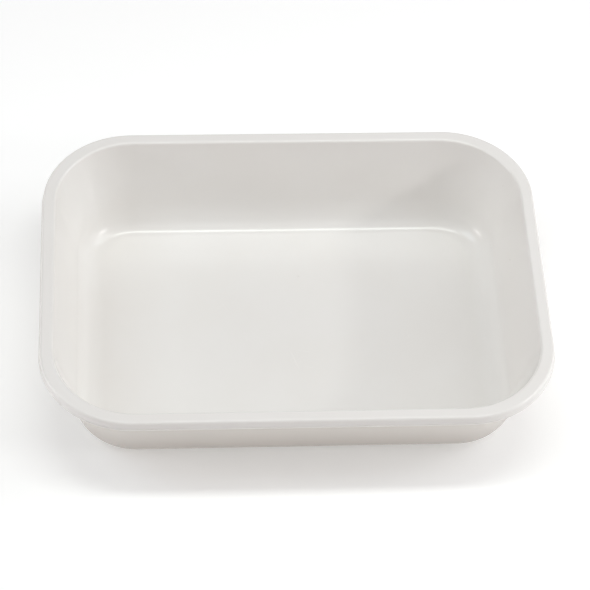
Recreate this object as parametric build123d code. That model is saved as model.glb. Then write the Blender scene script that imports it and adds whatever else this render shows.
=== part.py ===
from build123d import *
from math import cos, radians, tan
import os

os.makedirs("parts", exist_ok=True)

# A rectangular slide-in bedpan, moulded in one piece: a plain tub with drafted walls,
# a flat flange round its mouth, and a short skirt turned down from the flange that
# ends in a small outward lip. Millimetres, +Z up, +X along the long side, origin at
# the centre of the plane that the pan stands on.

# Overall size, over the lip
overall_length = 350.0
overall_width = 260.0
overall_height = 72.0
overall_corner_radius = 63.0

# Rim
flange_width = 8.6
flange_thickness = 2.4
flange_outer_round = 1.8
flange_inner_round = 2.0
skirt_height = 7.0
skirt_flare = 0.5
skirt_thickness = 2.0
lip_stand = 0.5
lip_height = 1.4
lip_round = 0.45

# Tub
mouth_corner_radius = 56.0
wall_draft = 14.8
wall_thickness = 2.4
floor_thickness = 2.8
floor_fillet = 19.0

# Underside
standing_ring_width = 8.0
panel_recess = 0.5
gate_mark_radius = 2.0
gate_mark_height = 0.3

# Sizes that follow from the ones above
skirt_base_height = overall_height - skirt_height
flange_inset = lip_stand + skirt_flare
mouth_inset = flange_inset + flange_width
draft_slope = tan(radians(wall_draft))
mouth_offset = wall_thickness / cos(radians(wall_draft))
outer_fillet = floor_fillet + wall_thickness


def rim_plan(inset, height):
    """The rim's rounded rectangle, drawn in by inset from the lip and lying at height."""
    outline = RectangleRounded(
        overall_length - 2 * inset, overall_width - 2 * inset, overall_corner_radius - inset
    )
    return (Pos(0, 0, height) * outline).face()


def tub_plan(inset, height):
    """The mouth's rounded rectangle, drawn in by inset and lying at height."""
    outline = RectangleRounded(
        overall_length - 2 * (mouth_inset + inset),
        overall_width - 2 * (mouth_inset + inset),
        mouth_corner_radius - inset,
    )
    return (Pos(0, 0, height) * outline).face()


def round_loop(solid, place, radius):
    """Rounds the lowest (0) or highest (-1) loop of edges of a solid."""
    return fillet(solid.edges().group_by(Axis.Z)[place], radius)


def rim_block(inset, top):
    """A solid cap inside the skirt's outer face, drawn in by inset and leaning like it."""
    lean = skirt_flare * (top - skirt_base_height) / skirt_height
    base = rim_plan(lip_stand + inset, skirt_base_height)
    return loft([base, rim_plan(lip_stand + inset + lean, top)], ruled=True)


def rim():
    """The flange, its skirt and lip, still closed over the mouth."""
    cap = round_loop(rim_block(0, overall_height), -1, flange_outer_round)
    lip = extrude(rim_plan(0, skirt_base_height), lip_height)
    lip = round_loop(round_loop(lip, -1, lip_round), 0, lip_round)
    hollow = rim_block(skirt_thickness, overall_height - flange_thickness)
    return cap + lip - hollow


def tub_block(offset, bottom, bottom_fillet):
    """The drafted tub down to the height of bottom, grown outwards by offset."""
    draw_in = (overall_height - bottom) * draft_slope - offset
    block = loft([tub_plan(draw_in, bottom), tub_plan(-offset, overall_height)], ruled=True)
    return round_loop(block, 0, bottom_fillet)


def underside_panel():
    """The shallow cut in the base that leaves a ring for the pan to stand on."""
    base_inset = overall_height * draft_slope - mouth_offset
    fillet_reach = outer_fillet * tan(radians(90 - wall_draft) / 2)
    return extrude(tub_plan(base_inset + fillet_reach + standing_ring_width, 0), panel_recess)


def gate_mark():
    """The small disc left where the plastic entered the mould."""
    disc = Cylinder(gate_mark_radius, gate_mark_height, align=(Align.CENTER, Align.CENTER, Align.MIN))
    return Pos(0, 0, panel_recess - gate_mark_height) * disc


def pan():
    """The whole pan as one moulded solid."""
    shell = rim() + tub_block(mouth_offset, 0, outer_fillet)
    shell -= tub_block(0, floor_thickness, floor_fillet)
    shell = round_loop(shell, -1, flange_inner_round)
    return shell - underside_panel() + gate_mark()


body = pan()
print("solids", len(body.solids()), "volume", round(body.volume), "size", body.bounding_box().size)
export_step(body, "parts/pan.step")
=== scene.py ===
import math

import bpy
import numpy as np
from mathutils import Matrix, Vector


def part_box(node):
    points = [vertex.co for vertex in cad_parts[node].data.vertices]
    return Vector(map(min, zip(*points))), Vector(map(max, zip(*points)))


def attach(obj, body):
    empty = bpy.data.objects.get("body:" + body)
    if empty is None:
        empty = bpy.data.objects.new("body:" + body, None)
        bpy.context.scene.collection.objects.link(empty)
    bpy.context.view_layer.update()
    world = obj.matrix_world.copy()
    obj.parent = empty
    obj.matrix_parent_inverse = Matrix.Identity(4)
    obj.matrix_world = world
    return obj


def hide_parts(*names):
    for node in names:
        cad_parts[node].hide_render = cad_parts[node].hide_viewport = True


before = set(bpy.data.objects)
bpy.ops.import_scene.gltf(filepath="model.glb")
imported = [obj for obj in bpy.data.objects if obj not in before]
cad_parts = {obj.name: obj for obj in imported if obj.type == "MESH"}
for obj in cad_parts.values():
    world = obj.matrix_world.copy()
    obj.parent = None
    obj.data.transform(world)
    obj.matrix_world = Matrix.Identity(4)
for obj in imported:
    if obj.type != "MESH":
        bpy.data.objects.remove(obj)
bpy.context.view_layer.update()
mm = 0.001
print("frame loaded with", len(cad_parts), "node")


# Camera

cameraSetup = {
    "turn": -5.16,            # degrees round the pan, minus is to its left
    "height": 50.98,          # degrees above the table
    "tilt": 3.17,             # degrees of roll
    "distance": 1.795,        # metres, as every camera measure but the lens and sensor
    "aim": (0.0052, 0.0359, 0.0),
    "nearest": 0.05,
    "farthest": 50.0,
    "lens": 151.3,            # millimetres
    "sensor": 36.0,           # millimetres
}


def makeCamera(setup):
    data = bpy.data.cameras.new("mainCamera")
    data.lens = setup["lens"]
    data.sensor_width = setup["sensor"]
    data.clip_start = setup["nearest"]
    data.clip_end = setup["farthest"]
    camera = bpy.data.objects.new("mainCamera", data)
    bpy.context.scene.collection.objects.link(camera)
    turn = math.radians(setup["turn"])
    height = math.radians(setup["height"])
    back = Vector((math.sin(turn) * math.cos(height), -math.cos(turn) * math.cos(height), math.sin(height)))
    roll = Matrix.Rotation(math.radians(setup["tilt"]), 3, "Z").to_quaternion()
    camera.rotation_mode = "QUATERNION"
    camera.rotation_quaternion = (-back).to_track_quat("-Z", "Y") @ roll
    camera.location = Vector(setup["aim"]) + back * setup["distance"]
    bpy.context.scene.camera = camera


makeCamera(cameraSetup)
print("camera placed")


# The pan's shape, in millimetres. Length, width and height come from the frame.

panShape = {
    "cornerRadius": 63.0,
    "flangeWidth": 8.6,
    "flangeThickness": 2.4,
    "flangeOuterRound": 1.8,
    "flangeInnerRound": 2.0,
    "skirtHeight": 7.0,
    "skirtFlare": 0.5,
    "skirtThickness": 2.0,
    "lipStand": 0.5,          # how far the lip stands out from the skirt
    "lipHeight": 1.4,
    "lipRound": 0.45,
    "lipSweep": 0.45,         # hollow curve from the skirt out to the lip
    "lipSweepAngle": 75.0,
    "mouthCornerRadius": 56.0,
    "wallDraft": 14.8,        # degrees from upright
    "wallThickness": 2.4,
    "floorThickness": 2.8,
    "floorFillet": 19.0,
    "longSideRunOut": 7.0,    # how much further the fillet runs up the two long walls
    "longSideShort": 2.8,     # how much less it runs out over the floor there
    "longSidePull": 0.70,     # how gently it starts from the floor there, 0.59 is about an arc
    "ringWidth": 8.0,         # the ring that the pan stands on
    "ringEdge": 0.35,         # from the end of the ring's flat to the step up to the panel
    "stepFoot": 0.105,        # height of that step's lower corner
    "stepSoft": 0.1,          # softening of its upper corner
    "stepReach": 0.3,         # from the step's foot to the panel's flat
    "panelRecess": 0.5,
    "gateRadius": 2.0,
    "gateHeight": 0.3,
    "gateFlare": 0.25,        # how far the gate mark's foot spreads
    "gateEdge": 0.05,         # softening of its foot and of its rim
    "gateSoft": 0.1,          # how far its flat top stays inside its rim
}

meshSteps = {
    "corner": 24,             # spans in each corner's arc
    "long": 26,               # spans along each long straight
    "short": 16,              # spans along each short straight
    "roundSpans": 6,          # spans across each of the flange's two rounds
    "filletSpans": 16,        # spans across the floor fillet
    "wallSpans": 8,
    "flangeSpans": 3,
    "skirtSpans": 3,
    "lipSpans": 4,            # spans in each of the lip's curves
    "lipFlatSpans": 1,        # spans across the skirt's lower edge
    "hollowSpans": 2,         # spans up and across the hollow under the flange
    "ringSpans": 2,
    "panelSpans": 22,         # rings across the underside panel
    "edgeBand": 0.35,         # millimetres of narrow band beside each round
    "bandLimit": 0.3,         # the largest share of a stretch that such a band takes
    "floorBand": 4.0,         # millimetres from the fillet to the floor's grid
    "panelBand": 1.0,         # millimetres of panel beside its step
    "gateBand": 0.5,          # millimetres of panel beside the gate mark
    "gateInner": 0.5,         # the gate mark's inmost ring, as a share of its radius
}

lowCorner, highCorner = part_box("pan")
overallLength = (highCorner.x - lowCorner.x) / mm
overallWidth = (highCorner.y - lowCorner.y) / mm
overallHeight = (highCorner.z - lowCorner.z) / mm


def outlinePoints(length, width, radius):
    # A rounded rectangle, anticlockwise, starting at the middle of the front left corner's arc
    halfX = length / 2 - radius
    halfY = width / 2 - radius
    corners = [(-halfX, -halfY, 180), (halfX, -halfY, 270), (halfX, halfY, 0), (-halfX, halfY, 90)]
    spans = [meshSteps["long"], meshSteps["short"]] * 2
    half = meshSteps["corner"] // 2
    points = []
    for place, (cx, cy, start) in enumerate(corners):
        nx, ny, nextStart = corners[(place + 1) % 4]
        for k in range(half):
            angle = math.radians(start + 45 + 45 * k / half)
            points.append((cx + radius * math.cos(angle), cy + radius * math.sin(angle)))
        end = math.radians(start + 90)
        ax, ay = cx + radius * math.cos(end), cy + radius * math.sin(end)
        bx, by = nx + radius * math.cos(end), ny + radius * math.sin(end)
        for k in range(spans[place]):
            share = k / spans[place]
            points.append((ax + (bx - ax) * share, ay + (by - ay) * share))
        for k in range(half):
            angle = math.radians(nextStart + 45 * k / half)
            points.append((nx + radius * math.cos(angle), ny + radius * math.sin(angle)))
    return np.array(points)


def ringAt(inset, radius, height):
    # A rounded rectangle that far inside the lip's outer face
    flat = outlinePoints(overallLength - 2 * inset, overallWidth - 2 * inset, radius)
    return np.column_stack([flat, np.full(len(flat), height)])


def rimRing(inset, height):
    # inset is measured from the lip's outer face
    return ringAt(inset, panShape["cornerRadius"] - inset, height)


def mouthRing(inset, height):
    # inset is measured from the mouth's edge, before its round
    start = panShape["lipStand"] + panShape["skirtFlare"] + panShape["flangeWidth"]
    return ringAt(start + inset, panShape["mouthCornerRadius"] - inset, height)


def tangentReach(radius, lean):
    # How far a round reaches from the corner of a level face and one that leans from upright
    return radius * math.tan((math.pi / 2 - lean) / 2)


def arcStations(centre, radius, fromAngle, toAngle, spans):
    # Angles are degrees above the way to the pan's middle, in a cut across the wall
    made = []
    for k in range(spans + 1):
        angle = math.radians(fromAngle + (toAngle - fromAngle) * k / spans)
        made.append((centre[0] + radius * math.cos(angle), centre[1] + radius * math.sin(angle)))
    return made


def filletStations(shape, cornerInset, spans, runOut=0.0, short=0.0, floorPull=None):
    # A smooth bend from the floor to the wall, close to a true arc unless it is told otherwise
    draft = math.radians(shape["wallDraft"])
    turn = math.pi / 2 - draft
    reach = tangentReach(shape["floorFillet"], draft)
    pull = 4 / 3 * math.tan(turn / 4) / math.tan(turn / 2)
    corner = np.array([cornerInset, shape["floorThickness"]])
    start = corner + np.array([reach - short, 0.0])
    end = corner + (reach + runOut) * np.array([-math.sin(draft), math.cos(draft)])
    first = start + (corner - start) * (floorPull or pull)
    second = end + (corner - end) * pull
    made = []
    for k in range(spans + 1):
        t = k / spans
        lower = (1 - t) ** 3 * start + 3 * t * (1 - t) ** 2 * first
        upper = 3 * t ** 2 * (1 - t) * second + t ** 3 * end
        made.append(tuple((lower + upper).tolist()))
    return made


def longSideShare():
    # 1 along the long walls, 0 along the short ones, changing smoothly round the corners
    way = mouthRing(0.0, 0.0) - mouthRing(1.0, 0.0)
    return (way[:, 1] ** 2)[:, None]


def bandedShares(distance, spans, band):
    # Even steps, with a narrow band beside each end, so that shading stays crisp there
    cut = min(band / distance, meshSteps["bandLimit"])
    return [cut + (1 - 2 * cut) * k / spans for k in range(spans + 1)]


def between(a, b, spans, band):
    shares = bandedShares(math.dist(a, b), spans, band)
    return [(a[0] + (b[0] - a[0]) * share, a[1] + (b[1] - a[1]) * share) for share in shares]


def blendRings(a, b, spans, band):
    distance = float(np.mean(np.linalg.norm(b - a, axis=1)))
    return [a + (b - a) * share for share in bandedShares(distance, spans, band)]


def panRings(shape, steps):
    # Rings from the floor's edge, up the inside, over the rim, down the outside, to the base
    draft = math.radians(shape["wallDraft"])
    slope = math.tan(draft)
    band = steps["edgeBand"]
    narrow = band / 2
    longShare = longSideShare()
    rings = []

    def addMouth(stations):
        rings.extend(mouthRing(inset, height) for inset, height in stations)

    def addRim(stations):
        rings.extend(rimRing(inset, height) for inset, height in stations)

    def addMixed(endWall, longWall):
        for atEnd, atLong in zip(endWall, longWall):
            rings.append(mouthRing(*atEnd) * (1 - longShare) + mouthRing(*atLong) * longShare)

    # inside: floor fillet, wall, mouth round
    floorTop = shape["floorThickness"]
    cornerInset = (overallHeight - floorTop) * slope
    floorInset = cornerInset + tangentReach(shape["floorFillet"], draft)
    addMouth([(floorInset + steps["floorBand"], floorTop), (floorInset + band, floorTop)])
    endWall = filletStations(shape, cornerInset, steps["filletSpans"])
    longWall = filletStations(
        shape, cornerInset, steps["filletSpans"],
        shape["longSideRunOut"], shape["longSideShort"], shape["longSidePull"],
    )
    addMixed(endWall, longWall)
    innerRound = shape["flangeInnerRound"]
    centre = (-tangentReach(innerRound, draft), overallHeight - innerRound)
    mouthRound = arcStations(centre, innerRound, shape["wallDraft"], 90, steps["roundSpans"])
    addMixed(
        between(endWall[-1], mouthRound[0], steps["wallSpans"], band),
        between(longWall[-1], mouthRound[0], steps["wallSpans"], band),
    )
    addMouth(mouthRound)

    # flange top, from the mouth's outline to the rim's
    lean = math.atan2(shape["skirtFlare"], shape["skirtHeight"])
    roundInset = shape["lipStand"] + shape["skirtFlare"] + tangentReach(shape["flangeOuterRound"], lean)
    rings.extend(blendRings(rings[-1], rimRing(roundInset, overallHeight), steps["flangeSpans"], band))

    # outer round and skirt
    centre = (roundInset, overallHeight - shape["flangeOuterRound"])
    skirtAngle = 180 - math.degrees(lean)
    outerRound = arcStations(centre, shape["flangeOuterRound"], 90, skirtAngle, steps["roundSpans"])
    addRim(outerRound)
    base = overallHeight - shape["skirtHeight"]
    lipTop = base + shape["lipHeight"]
    skirtFoot = (shape["lipStand"] + shape["skirtFlare"] * shape["lipHeight"] / shape["skirtHeight"], lipTop)
    addRim(between(outerRound[-1], skirtFoot, steps["skirtSpans"], narrow))

    # lip: a hollow curve out, a round back to upright, and the skirt's lower edge
    sweep = shape["lipSweep"]
    sweepTurn = shape["lipSweepAngle"]
    sweepAngle = math.radians(sweepTurn)
    sweepCentre = (skirtFoot[0] - sweep, lipTop)
    addRim(arcStations(sweepCentre, sweep, 0, -sweepTurn, steps["lipSpans"]))
    sweepEnd = (sweepCentre[0] + sweep * math.cos(sweepAngle), lipTop - sweep * math.sin(sweepAngle))
    shoulder = sweepEnd[0] / (1 - math.cos(sweepAngle))
    shoulderCentre = (shoulder, sweepEnd[1] - shoulder * math.sin(sweepAngle))
    shoulderArc = arcStations(shoulderCentre, shoulder, 180 - sweepTurn, 180, steps["lipSpans"])
    addRim(shoulderArc[1:])    # it starts where the hollow curve ends
    lipRound = shape["lipRound"]
    addRim(arcStations((lipRound, base + lipRound), lipRound, 180, 270, steps["lipSpans"]))
    innerFoot = (shape["lipStand"] + shape["skirtThickness"], base)
    addRim(between((lipRound, base), innerFoot, steps["lipFlatSpans"], narrow))

    # hollow under the flange
    ceiling = overallHeight - shape["flangeThickness"]
    innerTop = (innerFoot[0] + shape["skirtFlare"] * (ceiling - base) / shape["skirtHeight"], ceiling)
    addRim([innerFoot])
    addRim(between(innerFoot, innerTop, steps["hollowSpans"], narrow))
    addRim([innerTop])
    offset = shape["wallThickness"] / math.cos(draft)
    wallTop = (shape["flangeThickness"] * slope - offset, ceiling)
    rings.extend(blendRings(rings[-1], mouthRing(*wallTop), steps["hollowSpans"], band))

    # outside wall and its fillet
    radius = shape["floorFillet"] + shape["wallThickness"]
    baseInset = overallHeight * slope - offset + tangentReach(radius, draft)
    fillet = arcStations((baseInset, radius), radius, 180 + shape["wallDraft"], 270, steps["filletSpans"])
    addMouth([wallTop])
    addMouth(between(wallTop, fillet[0], steps["wallSpans"], band))
    addMouth(fillet)

    # standing ring and the step up to the shallow panel inside it
    recess = shape["panelRecess"]
    panelInset = baseInset + shape["ringWidth"]
    ringEnd = (panelInset - shape["ringEdge"], 0.0)
    addMouth(between((baseInset, 0.0), ringEnd, steps["ringSpans"], band))
    addMouth([(panelInset, shape["stepFoot"]), (panelInset + shape["stepSoft"], recess - shape["stepSoft"])])
    addMouth([(panelInset + shape["stepReach"], recess), (panelInset + steps["panelBand"], recess)])
    return rings


def panelRings(edge, shape, steps):
    # The underside panel, from its edge to the gate mark in the middle
    middle = edge.mean(axis=0)
    spokes = edge[:, :2] - middle[:2]
    angles = np.arctan2(spokes[:, 1], spokes[:, 0])

    def circle(radius, height):
        heights = np.full(len(angles), height)
        return np.column_stack([radius * np.cos(angles), radius * np.sin(angles), heights])

    radius = shape["gateRadius"]
    foot = radius + shape["gateFlare"]
    recess = shape["panelRecess"]
    top = recess - shape["gateHeight"]
    inmost = circle(foot + steps["gateBand"], recess)
    rings = [edge + (inmost - edge) * k / steps["panelSpans"] for k in range(1, steps["panelSpans"] + 1)]
    rings.append(circle(foot, recess))
    rings.append(circle(radius, recess - shape["gateEdge"]))
    rings.append(circle(radius, top + shape["gateEdge"]))
    rings.append(circle(radius - shape["gateSoft"], top))
    rings.append(circle(radius * steps["gateInner"], top))
    return rings


def floorGrid(ring, steps):
    # Fills the floor inside a ring with a grid, blended from its four sides
    wide = steps["long"] + steps["corner"]
    deep = steps["short"] + steps["corner"]
    front = ring[: wide + 1]
    right = ring[wide : wide + deep + 1]
    rear = ring[wide + deep : 2 * wide + deep + 1][::-1]
    left = np.vstack([ring[2 * wide + deep :], ring[:1]])[::-1]
    u = np.linspace(0, 1, wide + 1)[None, :, None]
    v = np.linspace(0, 1, deep + 1)[:, None, None]
    along = (1 - v) * front[None] + v * rear[None]
    across = (1 - u) * left[:, None] + u * right[:, None]
    corners = (
        (1 - u) * (1 - v) * front[0] + u * (1 - v) * front[-1]
        + (1 - u) * v * rear[0] + u * v * rear[-1]
    )
    return along + across - corners, wide, deep


def makePan(shape, steps):
    rings = panRings(shape, steps)
    rings.extend(panelRings(rings[-1], shape, steps))
    count = len(rings[0])
    points = np.vstack(rings)
    faces = []
    for k in range(len(rings) - 1):
        a, b = k * count, (k + 1) * count
        for j in range(count):
            n = (j + 1) % count
            faces.append((a + j, b + j, b + n, a + n))

    # close the gate mark with a small fan
    last = (len(rings) - 1) * count
    middle = len(points)
    points = np.vstack([points, rings[-1].mean(axis=0)])
    faces.extend((last + j, middle, last + (j + 1) % count) for j in range(count))

    # floor grid, whose edge is the first ring
    grid, wide, deep = floorGrid(rings[0], steps)
    number = np.full((deep + 1, wide + 1), -1)
    number[0, :] = np.arange(wide + 1)
    number[:, wide] = wide + np.arange(deep + 1)
    number[deep, ::-1] = wide + deep + np.arange(wide + 1)
    number[::-1, 0] = (2 * wide + deep + np.arange(deep + 1)) % count
    inside = grid[1:-1, 1:-1].reshape(-1, 3)
    number[1:-1, 1:-1] = len(points) + np.arange(len(inside)).reshape(deep - 1, wide - 1)
    points = np.vstack([points, inside])
    for row in range(deep):
        for col in range(wide):
            faces.append((
                int(number[row, col]), int(number[row, col + 1]),
                int(number[row + 1, col + 1]), int(number[row + 1, col]),
            ))

    mesh = bpy.data.meshes.new("panShell")
    mesh.from_pydata((points * mm).tolist(), [], faces)
    mesh.validate()
    mesh.update()
    mesh.shade_smooth()
    pan = bpy.data.objects.new("panShell", mesh)
    bpy.context.scene.collection.objects.link(pan)
    return pan


pan = makePan(panShape, meshSteps)
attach(pan, "root")
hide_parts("pan")
print("pan shell made:", len(pan.data.vertices), "points,", len(pan.data.polygons), "faces")


# Plastic. Scales are per metre, heights and depths are in metres.

panPlastic = {
    "colour": (0.87, 0.858, 0.832, 1.0),
    "cloudColour": (0.86, 0.846, 0.817, 1.0),     # faint clouds in the moulding
    "outerPaintedShadeColour": (0.74, 0.71, 0.665, 1.0),      # painted shade: the outside wall, under the rim, darker than the plastic
    "outerLowPaintedShadeColour": (0.58, 0.54, 0.50, 1.0),    # painted shade: the same, darker still near the table
    "wornColour": (0.78, 0.77, 0.745, 1.0),       # the ring that it slides on, and scratches
    "speckColour": (0.60, 0.55, 0.48, 1.0),
    "cloudScale": 16.0,
    "cloudDetail": 4.0,
    "cloudLimits": (0.38, 0.66),
    "outerPaintedShadeFacing": (-0.02, -0.18),     # how a face tilts down where the outside, and its painted shade, starts
    "outerPaintedShadeFade": (0.045, 0.004),       # heights between which the painted shade on the outside deepens
    "ringFade": (0.00035, 0.00005),    # heights between which the worn ring starts
    "speckScale": 45.0,
    "speckEdge": (0.0256, 0.0096),     # a speck's soft edge, as shares of its cell
    "speckChance": 0.5,
    "grainScale": 1100.0,
    "grainDetail": 3.0,
    "grainRoughness": 0.6,
    "grainDepth": 0.000004,
    "waveScale": 24.0,
    "waveDetail": 2.0,
    "waveDepth": 0.00006,
    "scratchTurns": (12.0, -34.0, 71.0),          # degrees, one set of scratches for each
    "scratchStretch": (22.0, 1800.0, 1800.0),     # long and thin
    "scratchLimits": (0.70, 0.80),
    "scratchDepth": 0.000005,
    "scratchPatch": 21.0,
    "scratchPatchDetail": 2.0,
    "scratchPatchLimits": (0.50, 0.66),
    "scratchShade": 0.3,
    "scratchInside": 0.12,             # how plain they are on the floor, where 1 is as plain as underneath
    "scratchFade": (0.006, 0.003),     # they fade between these heights, so only low faces have them
    "roughness": 0.22,
    "roughnessCloud": 0.04,            # what clouds, ring and scratches each add
    "roughnessRing": 0.18,
    "roughnessScratch": 0.15,
    "ior": 1.54,
}


def makePlastic(look):
    material = bpy.data.materials.new("whiteMouldedPlastic")
    material.use_nodes = True
    nodes = material.node_tree.nodes
    links = material.node_tree.links
    shader = nodes["Principled BSDF"]

    def feed(socket, value):
        if isinstance(value, bpy.types.NodeSocket):
            links.new(value, socket)
        else:
            socket.default_value = value

    def maths(operation, a, b):
        node = nodes.new("ShaderNodeMath")
        node.operation = operation
        feed(node.inputs[0], a)
        feed(node.inputs[1], b)
        return node.outputs[0]

    def spread(value, low, high):
        # 0 at the first limit, 1 at the second
        node = nodes.new("ShaderNodeMapRange")
        node.interpolation_type = "SMOOTHSTEP"
        feed(node.inputs["Value"], value)
        node.inputs["From Min"].default_value = low
        node.inputs["From Max"].default_value = high
        return node.outputs["Result"]

    def noise(vector, scale, detail, roughness=0.5):
        node = nodes.new("ShaderNodeTexNoise")
        links.new(vector, node.inputs["Vector"])
        node.inputs["Scale"].default_value = scale
        node.inputs["Detail"].default_value = detail
        node.inputs["Roughness"].default_value = roughness
        return node.outputs["Fac"]

    def mix(share, a, b):
        node = nodes.new("ShaderNodeMix")
        node.data_type = "RGBA"
        feed(node.inputs["Factor"], share)
        feed(node.inputs[6], a)    # the two colour inputs
        feed(node.inputs[7], b)
        return node.outputs[2]

    def bump(amount, distance, below=None):
        node = nodes.new("ShaderNodeBump")
        node.inputs["Distance"].default_value = distance
        links.new(amount, node.inputs["Height"])
        if below:
            links.new(below, node.inputs["Normal"])
        return node.outputs["Normal"]

    # masks: the outside and its lower part, which carry painted shade, the standing ring and the clouds
    place = nodes.new("ShaderNodeTexCoord").outputs["Object"]
    split = nodes.new("ShaderNodeSeparateXYZ")
    links.new(place, split.inputs[0])
    up = split.outputs["Z"]
    facing = nodes.new("ShaderNodeSeparateXYZ")
    links.new(nodes.new("ShaderNodeNewGeometry").outputs["Normal"], facing.inputs[0])
    outsideShadeMask = spread(facing.outputs["Z"], *look["outerPaintedShadeFacing"])
    low = spread(up, *look["outerPaintedShadeFade"])
    ring = spread(up, *look["ringFade"])
    clouds = spread(noise(place, look["cloudScale"], look["cloudDetail"]), *look["cloudLimits"])

    # hairline scratches: long thin streaks of noise, in patches
    scratches = None
    for turn in look["scratchTurns"]:
        turned = nodes.new("ShaderNodeMapping")
        links.new(place, turned.inputs["Vector"])
        turned.inputs["Rotation"].default_value = (0.0, 0.0, math.radians(turn))
        stretched = nodes.new("ShaderNodeMapping")
        links.new(turned.outputs["Vector"], stretched.inputs["Vector"])
        stretched.inputs["Scale"].default_value = look["scratchStretch"]
        streak = spread(noise(stretched.outputs["Vector"], 1.0, 0.0), *look["scratchLimits"])
        scratches = streak if scratches is None else maths("MAXIMUM", scratches, streak)
    patchNoise = noise(place, look["scratchPatch"], look["scratchPatchDetail"])
    patches = spread(patchNoise, *look["scratchPatchLimits"])
    lowPatches = maths("MULTIPLY", spread(up, *look["scratchFade"]), patches)
    plainness = maths("ADD", ring, look["scratchInside"])
    scratches = maths("MULTIPLY", scratches, maths("MULTIPLY", lowPatches, plainness))

    # specks: some of the cells hold a small dark dot
    cells = nodes.new("ShaderNodeTexVoronoi")
    links.new(place, cells.inputs["Vector"])
    cells.inputs["Scale"].default_value = look["speckScale"]
    pick = nodes.new("ShaderNodeSeparateColor")
    links.new(cells.outputs["Color"], pick.inputs["Color"])
    dots = spread(cells.outputs["Distance"], *look["speckEdge"])
    specks = maths("MULTIPLY", dots, maths("LESS_THAN", pick.outputs["Red"], look["speckChance"]))

    colour = mix(clouds, look["colour"], look["cloudColour"])
    # painted shade: the outside wall is darkened, more towards the table
    colour = mix(outsideShadeMask, colour, mix(low, look["outerPaintedShadeColour"], look["outerLowPaintedShadeColour"]))
    colour = mix(ring, colour, look["wornColour"])
    colour = mix(maths("MULTIPLY", scratches, look["scratchShade"]), colour, look["wornColour"])
    colour = mix(specks, colour, look["speckColour"])
    links.new(colour, shader.inputs["Base Color"])

    roughness = maths("ADD", look["roughness"], maths("MULTIPLY", clouds, look["roughnessCloud"]))
    roughness = maths("ADD", roughness, maths("MULTIPLY", ring, look["roughnessRing"]))
    roughness = maths("ADD", roughness, maths("MULTIPLY", scratches, look["roughnessScratch"]))
    links.new(roughness, shader.inputs["Roughness"])

    # relief: slow waves, fine grain, and the scratches cut in
    grain = noise(place, look["grainScale"], look["grainDetail"], look["grainRoughness"])
    relief = bump(noise(place, look["waveScale"], look["waveDetail"]), look["waveDepth"])
    relief = bump(grain, look["grainDepth"], relief)
    relief = bump(maths("SUBTRACT", 1.0, scratches), look["scratchDepth"], relief)
    links.new(relief, shader.inputs["Normal"])

    shader.inputs["IOR"].default_value = look["ior"]
    return material


pan.data.materials.append(makePlastic(panPlastic))
print("plastic made")


# Table, world and lamps. Places, aims and sizes are in metres, power is in watts.

studio = {
    "floorSize": 6.0,
    "floorColour": (0.86, 0.86, 0.86, 1.0),
    "floorRoughness": 0.9,
    "glowColour": (0.97, 1.0, 0.98, 1.0),
    "floorGlow": 0.27,        # a faintly lit table, so that it stays near white
    "worldColour": (1.0, 0.81, 0.82, 1.0),
    "worldStrength": 0.19,
    "view": "Standard",
}

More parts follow.
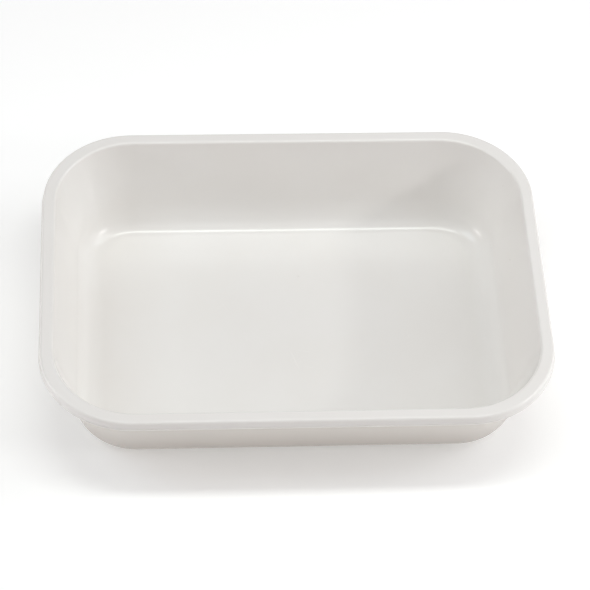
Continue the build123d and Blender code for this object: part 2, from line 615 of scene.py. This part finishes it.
lamps = {
    "overheadStrip": {    # the bright line where the floor turns up into the back wall
        "place": (0.06, -0.01, 1.3), "aim": (0.06, -0.01, 0.0), "size": (0.9, 0.145),
        "power": 5.6, "colour": (0.95, 0.995, 0.965),
    },
    "rightMid": {
        "place": (1.2, 0.05, 1.1), "aim": (0.0, 0.0, 0.02), "size": (0.8, 1.0),
        "power": 7.2, "colour": (0.95, 0.98, 1.0),
    },
    "rightSmall": {       # the highlight in the back left corner
        "place": (1.48, -0.55, 0.82), "aim": (0.0, 0.0, 0.03), "size": (0.36, 0.12),
        "power": 4.0, "colour": (1.0, 1.0, 0.99),
    },
    "rightLow": {
        "place": (1.75, 0.1, 0.38), "aim": (0.0, 0.0, 0.03), "size": (1.0, 0.2),
        "power": 3.6, "colour": (0.92, 0.96, 1.0),
    },
    "leftLow": {          # the highlight in the back right corner
        "place": (-1.7, -0.03, 0.43), "aim": (0.0, 0.0, 0.03), "size": (0.45, 0.26),
        "power": 5.2, "colour": (1.0, 0.96, 0.94),
    },
    "leftHigh": {
        "place": (-1.3, 0.05, 1.5), "aim": (0.0, 0.0, 0.03), "size": (0.8, 0.8),
        "power": 7.5, "colour": (0.85, 0.95, 1.0),
    },
    "frontHigh": {
        "place": (0.0, -1.2, 1.4), "aim": (0.0, 0.0, 0.03), "size": (1.2, 0.5),
        "power": 1.2, "colour": (1.0, 1.0, 1.0),
    },
    "frontLow": {
        "place": (0.0, -1.8, 0.3), "aim": (0.0, 0.0, 0.05), "size": (1.6, 0.5),
        "power": 1.6, "colour": (1.0, 0.98, 0.97),
    },
}


def makeFloor(setup):
    bpy.ops.mesh.primitive_plane_add(size=setup["floorSize"])
    floor = bpy.context.object
    floor.name = "studioFloor"
    material = bpy.data.materials.new("paleFloor")
    material.use_nodes = True
    shader = material.node_tree.nodes["Principled BSDF"]
    shader.inputs["Base Color"].default_value = setup["floorColour"]
    shader.inputs["Roughness"].default_value = setup["floorRoughness"]
    shader.inputs["Emission Color"].default_value = setup["glowColour"]
    shader.inputs["Emission Strength"].default_value = setup["floorGlow"]
    floor.data.materials.append(material)


def makeWorld(setup):
    world = bpy.data.worlds.new("studioWorld")
    world.use_nodes = True
    background = world.node_tree.nodes["Background"]
    background.inputs["Strength"].default_value = setup["worldStrength"]
    background.inputs["Color"].default_value = setup["worldColour"]
    bpy.context.scene.world = world
    bpy.context.scene.view_settings.view_transform = setup["view"]


def addLamp(name, setup):
    data = bpy.data.lights.new(name, "AREA")
    data.shape = "RECTANGLE"
    data.size, data.size_y = setup["size"]
    data.energy = setup["power"]
    data.color = setup["colour"]
    lamp = bpy.data.objects.new(name, data)
    way = Vector(setup["aim"]) - Vector(setup["place"])
    lamp.location = setup["place"]
    lamp.rotation_euler = way.to_track_quat("-Z", "Y").to_euler()
    bpy.context.scene.collection.objects.link(lamp)


makeFloor(studio)
makeWorld(studio)
for name, setup in lamps.items():
    addLamp(name, setup)
print("studio lit by", len(lamps), "lamps")
